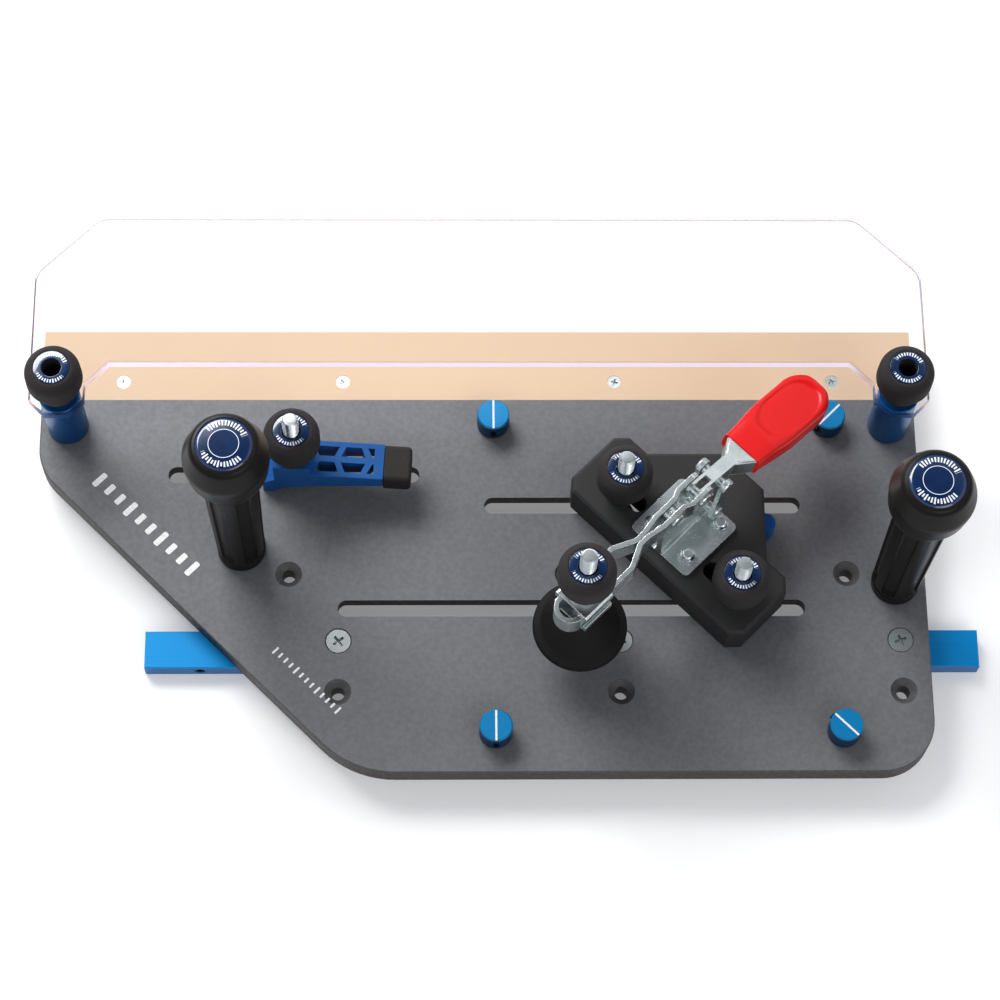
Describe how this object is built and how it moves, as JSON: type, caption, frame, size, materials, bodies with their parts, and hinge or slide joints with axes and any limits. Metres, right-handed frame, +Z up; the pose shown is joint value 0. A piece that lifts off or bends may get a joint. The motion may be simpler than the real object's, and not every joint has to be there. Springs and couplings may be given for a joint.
{
  "type": "router table half-lap jig",
  "caption": "Router table jig with a mitre bar, clear guard, push handles, eccentric stop pins, a slotted hold-down and a sliding toggle clamp on an angled carrier.",
  "frame": {"origin": "on the underside of the mitre bar, on its centre line, below the middle of the plate width", "axes": "+X along the mitre bar to the right, +Y away from the user, +Z up out of the plate"},
  "size_m": [0.4643, 0.2751, 0.1546],
  "materials": {
    "plate": "satin black-grey laminate with a fine texture",
    "fibreboard": "bare medium-density fibreboard",
    "bright_blue": "bright blue anodised",
    "deep_blue": "deep blue anodised",
    "zinc": "bright zinc plate",
    "clear": "clear polycarbonate",
    "soft_black": "soft-touch black moulding",
    "black_rubber": "black rubber",
    "navy_label": "domed navy label with white marks",
    "blue_plastic": "moulded mid-blue plastic",
    "carrier_black": "machined black plastic",
    "red_vinyl": "dipped glossy red vinyl",
    "dark_steel": "dark oiled set screw"
  },
  "bodies": {
    "jig": {"base_plate": "plate", "backer_strip": "fibreboard", "backer_screws": "zinc", "mitre_bar": "bright_blue", "mitre_bar_screws": "zinc", "mitre_bar_set_screws": "dark_steel", "guard_post_left": "deep_blue", "guard_post_right": "deep_blue", "guard_bolts": "zinc", "clear_guard": "clear", "handle_left": "soft_black", "handle_left_label": "navy_label", "handle_right": "soft_black", "handle_right_label": "navy_label", "handle_bolts": "zinc", "stop_pin_posts": "zinc"},
    "guard_knob_left": {"guard_knob_left": "soft_black", "guard_knob_left_label": "navy_label", "guard_knob_left_insert": "zinc"},
    "guard_knob_right": {"guard_knob_right": "soft_black", "guard_knob_right_label": "navy_label", "guard_knob_right_insert": "zinc"},
    "hold_down_bolt": {"hold_down_bolt": "zinc"},
    "hold_down_arm": {"hold_down_arm": "blue_plastic", "hold_down_pad": "black_rubber"},
    "hold_down_knob": {"hold_down_knob": "soft_black", "hold_down_knob_label": "navy_label"},
    "carrier_bolts": {"carrier_bolts": "zinc", "carrier_washers": "zinc"},
    "carrier_knob_back": {"carrier_knob_back": "soft_black", "carrier_knob_back_label": "navy_label"},
    "carrier_knob_front": {"carrier_knob_front": "soft_black", "carrier_knob_front_label": "navy_label"},
    "carrier": {"carrier_plate": "carrier_black", "carrier_button": "blue_plastic", "clamp_base_left": "zinc", "clamp_base_right": "zinc", "clamp_base_bolts": "zinc", "clamp_base_nuts": "zinc", "clamp_base_rivets": "zinc"},
    "clamp_arm": {"clamp_arm": "zinc", "clamp_arm_rivet": "zinc"},
    "clamp_lever": {"clamp_lever": "zinc", "clamp_grip": "red_vinyl"},
    "clamp_links": {"clamp_links": "zinc", "clamp_link_rivets": "zinc"},
    "spindle_saddle": {"spindle_washers": "zinc", "spindle_nuts": "zinc"},
    "spindle_knob": {"spindle_knob": "soft_black", "spindle_knob_label": "navy_label"},
    "spindle": {"spindle_bolt": "zinc", "spindle_foot": "black_rubber"},
    "stop_pin_back_middle": {"stop_pin_back_middle": "bright_blue", "stop_pin_back_middle_set_screw": "dark_steel"},
    "stop_pin_back_right": {"stop_pin_back_right": "bright_blue", "stop_pin_back_right_set_screw": "dark_steel"},
    "stop_pin_front_middle": {"stop_pin_front_middle": "bright_blue", "stop_pin_front_middle_set_screw": "dark_steel"},
    "stop_pin_front_right": {"stop_pin_front_right": "bright_blue", "stop_pin_front_right_set_screw": "dark_steel"}
  },
  "joints": [
    {"name": "guard_knob_left_spin", "type": "hinge", "parent": "jig", "child": "guard_knob_left", "pos_m": [-0.205, 0.1137, 0.08], "axis": [0, 0, 1], "continuous": true},
    {"name": "guard_knob_right_spin", "type": "hinge", "parent": "jig", "child": "guard_knob_right", "pos_m": [0.205, 0.1137, 0.08], "axis": [0, 0, 1], "continuous": true},
    {"name": "stop_pin_back_middle_turn", "type": "hinge", "parent": "jig", "child": "stop_pin_back_middle", "pos_m": [0.007, 0.1132, 0.03], "axis": [0, 0, 1], "continuous": true},
    {"name": "stop_pin_back_right_turn", "type": "hinge", "parent": "jig", "child": "stop_pin_back_right", "pos_m": [0.17344, 0.11364, 0.03], "axis": [0, 0, 1], "continuous": true},
    {"name": "stop_pin_front_middle_turn", "type": "hinge", "parent": "jig", "child": "stop_pin_front_middle", "pos_m": [0.007, -0.0483, 0.03], "axis": [0, 0, 1], "continuous": true},
    {"name": "stop_pin_front_right_turn", "type": "hinge", "parent": "jig", "child": "stop_pin_front_right", "pos_m": [0.17344, -0.04574, 0.03], "axis": [0, 0, 1], "continuous": true},
    {"name": "hold_down_slide", "type": "slide", "parent": "jig", "child": "hold_down_bolt", "axis": [1, 0, 0], "range_m": [-0.058, 0.0555]},
    {"name": "hold_down_swing", "type": "hinge", "parent": "hold_down_bolt", "child": "hold_down_arm", "pos_m": [-0.091, 0.0871, 0.04], "axis": [0, 0, 1], "range_deg": [-80, 180]},
    {"name": "hold_down_knob_spin", "type": "hinge", "parent": "hold_down_bolt", "child": "hold_down_knob", "pos_m": [-0.091, 0.0871, 0.06], "axis": [0, 0, 1], "continuous": true},
    {"name": "carrier_slide", "type": "slide", "parent": "jig", "child": "carrier_bolts", "axis": [1, 0, 0], "range_m": [-0.06, 0.016]},
    {"name": "carrier_knob_back_spin", "type": "hinge", "parent": "carrier_bolts", "child": "carrier_knob_back", "pos_m": [0.06956, 0.0706, 0.06], "axis": [0, 0, 1], "continuous": true},
    {"name": "carrier_knob_front_spin", "type": "hinge", "parent": "carrier_bolts", "child": "carrier_knob_front", "pos_m": [0.12356, 0.0166, 0.06], "axis": [0, 0, 1], "continuous": true},
    {"name": "carrier_shift", "type": "slide", "parent": "carrier_bolts", "child": "carrier", "axis": [0.7071, -0.7071, 0], "range_m": [-0.004, 0.0095]},
    {"name": "clamp_arm_lift", "type": "hinge", "parent": "carrier", "child": "clamp_arm", "pos_m": [0.08912, 0.04043, 0.08522], "axis": [-0.7071, 0.7071, 0], "range_deg": [0, 60]},
    {"name": "clamp_lever_lift", "type": "hinge", "parent": "clamp_arm", "child": "clamp_lever", "pos_m": [0.1015, 0.0528, 0.08372], "axis": [0.7071, -0.7071, 0], "range_deg": [0, 120.12]},
    {"name": "clamp_link_swing", "type": "hinge", "parent": "carrier", "child": "clamp_links", "pos_m": [0.10786, 0.05916, 0.05572], "axis": [0.7071, -0.7071, 0], "range_deg": [0, 32.69]},
    {"name": "spindle_saddle_slide", "type": "slide", "parent": "clamp_arm", "child": "spindle_saddle", "axis": [0.7071, 0.7071, 0], "range_m": [-0.004, 0.014]},
    {"name": "spindle_height", "type": "slide", "parent": "spindle_saddle", "child": "spindle", "axis": [0, 0, 1], "range_m": [-0.012, 0]},
    {"name": "spindle_knob_spin", "type": "hinge", "parent": "spindle_saddle", "child": "spindle_knob", "pos_m": [0.04705, -0.00165, 0.11], "axis": [0, 0, 1], "continuous": true}
  ],
  "couplings": [
    {"joint": "clamp_lever_lift", "follows": "clamp_arm_lift", "ratio": 2.0021},
    {"joint": "clamp_link_swing", "follows": "clamp_arm_lift", "ratio": 0.54482}
  ]
}
